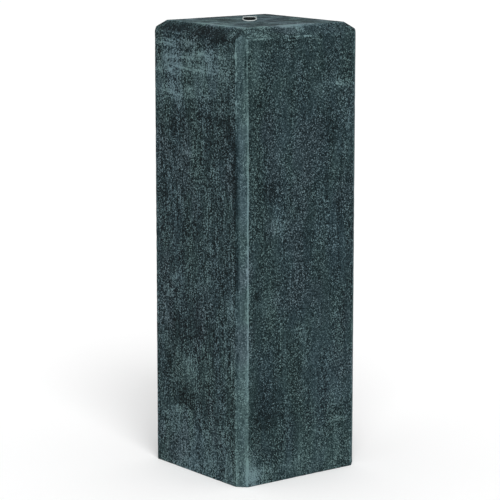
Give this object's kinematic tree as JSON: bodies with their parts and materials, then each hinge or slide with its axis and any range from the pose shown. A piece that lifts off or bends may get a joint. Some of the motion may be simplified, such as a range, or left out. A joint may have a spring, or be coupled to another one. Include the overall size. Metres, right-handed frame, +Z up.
{
  "type": "column base block",
  "caption": "Tall square base block of dark cast concrete with chamfered arrises and top edges and a threaded steel socket in its top, for standing a post or column on.",
  "frame": {"origin": "middle of the foot, where the block stands on the ground", "axes": "+Z up the block; +X along the face at -Y, +Y along the face at -X, so that the pictured corner is the one at -X and -Y"},
  "size_m": [0.2, 0.2, 0.6045],
  "materials": {
    "dark_concrete": "matt cast concrete with fine pores, cloudy blotches and worn paler edges",
    "zinc_plated_steel": "dull galvanised"
  },
  "bodies": {
    "root": {"concrete_block": "dark_concrete", "threaded_socket": "zinc_plated_steel"}
  },
  "joints": []
}
